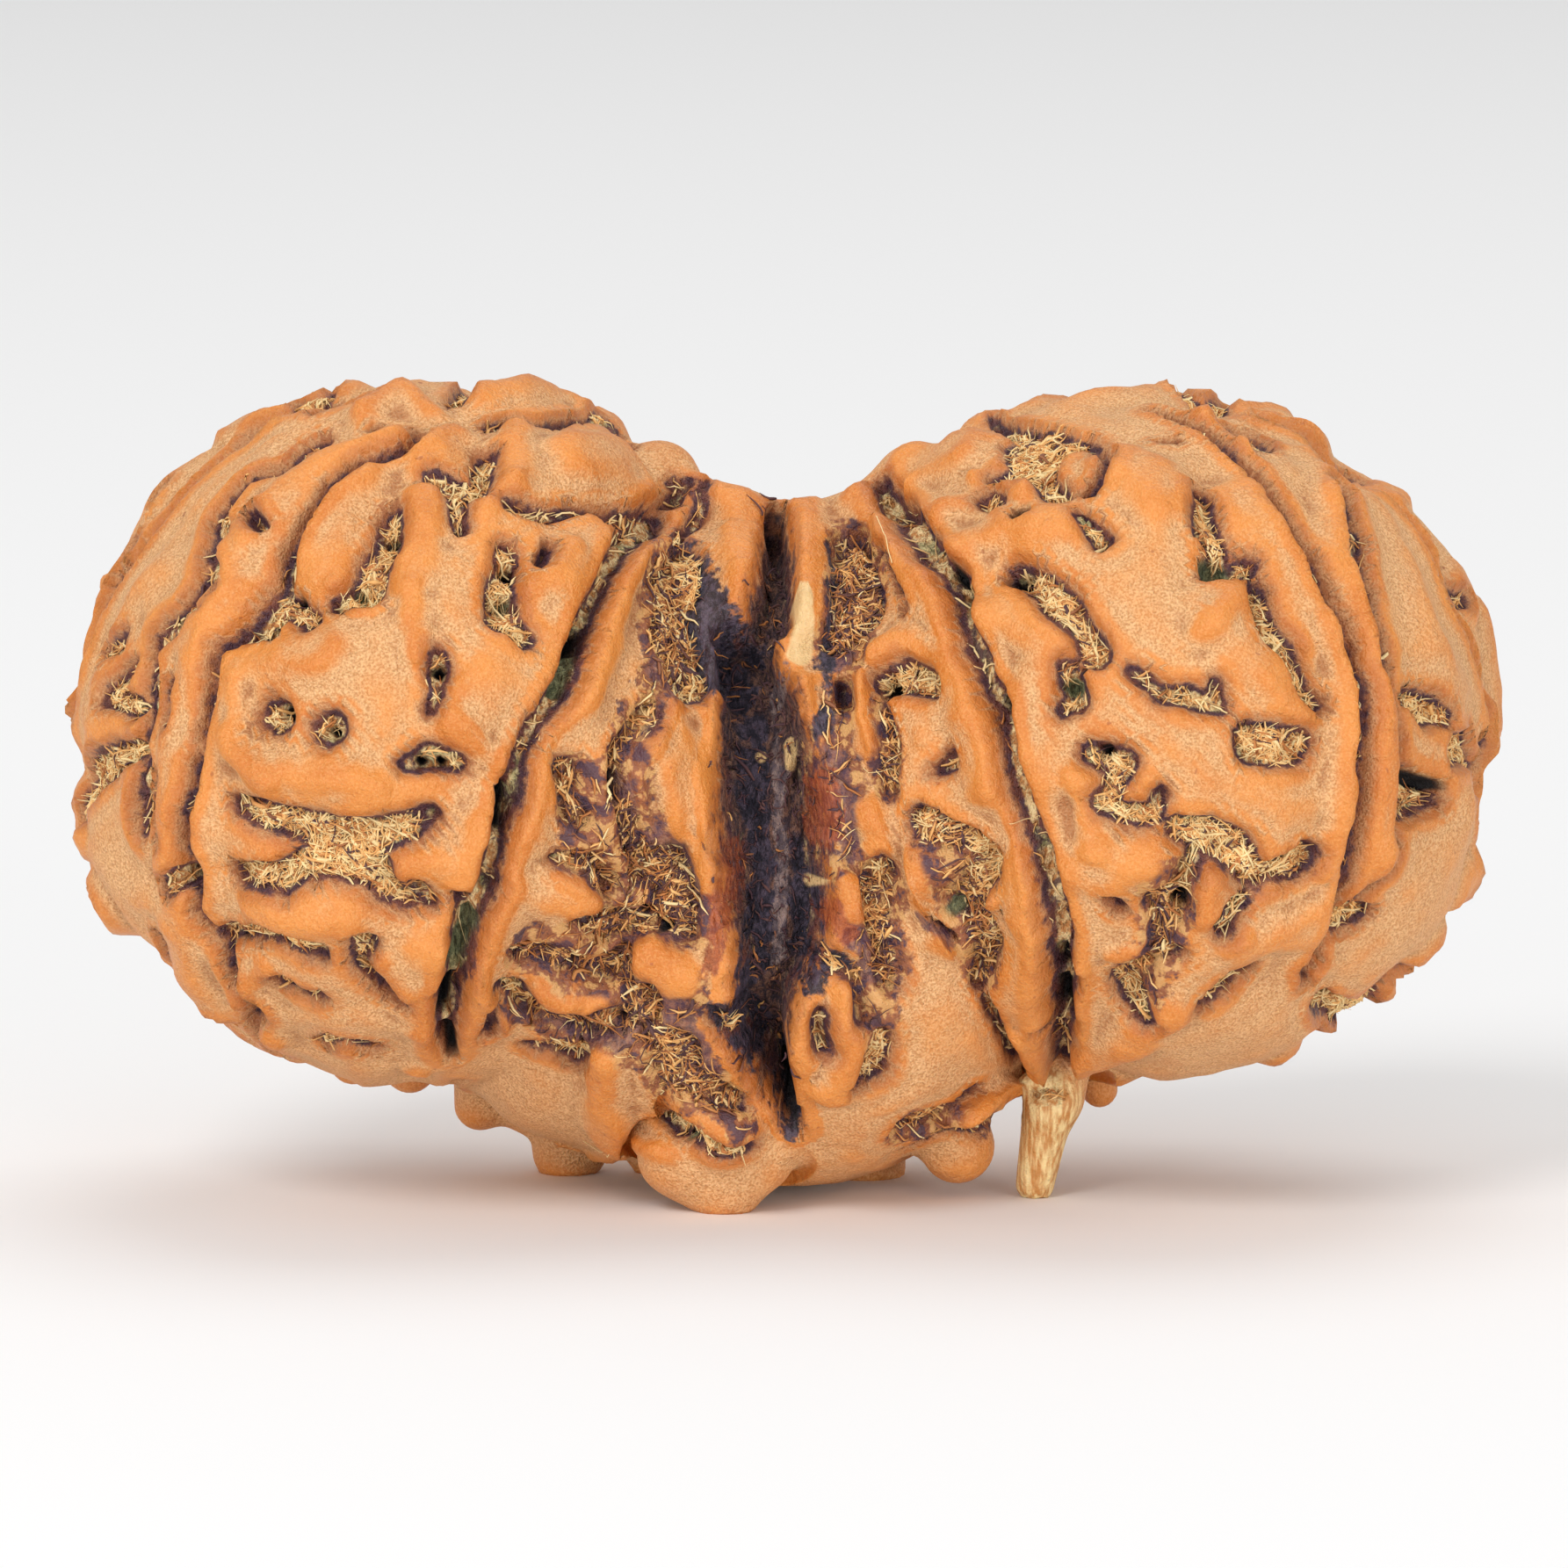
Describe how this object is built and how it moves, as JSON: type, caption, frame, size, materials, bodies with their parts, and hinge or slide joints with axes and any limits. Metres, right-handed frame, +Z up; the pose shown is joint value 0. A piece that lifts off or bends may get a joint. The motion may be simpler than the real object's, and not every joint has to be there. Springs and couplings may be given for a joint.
{
  "type": "gauri shankar rudraksha",
  "caption": "Two rudraksha stones grown together side by side, with mukhi clefts, raised ridges and fibrous pits, standing on low tubercles.",
  "frame": {"origin": "centre of the footprint box, on the plane that the low tubercles stand on", "axes": "+X along the two stones, +Z up, and the front of the picture faces -Y"},
  "size_m": [0.0326, 0.0164, 0.0189],
  "materials": {
    "stone": "dry, matt to silky rudraksha stone, orange-brown on the ridges, with dark purple-brown, fibrous pits and clefts"
  },
  "bodies": {
    "root": {"twin_stone": "stone"}
  },
  "joints": []
}
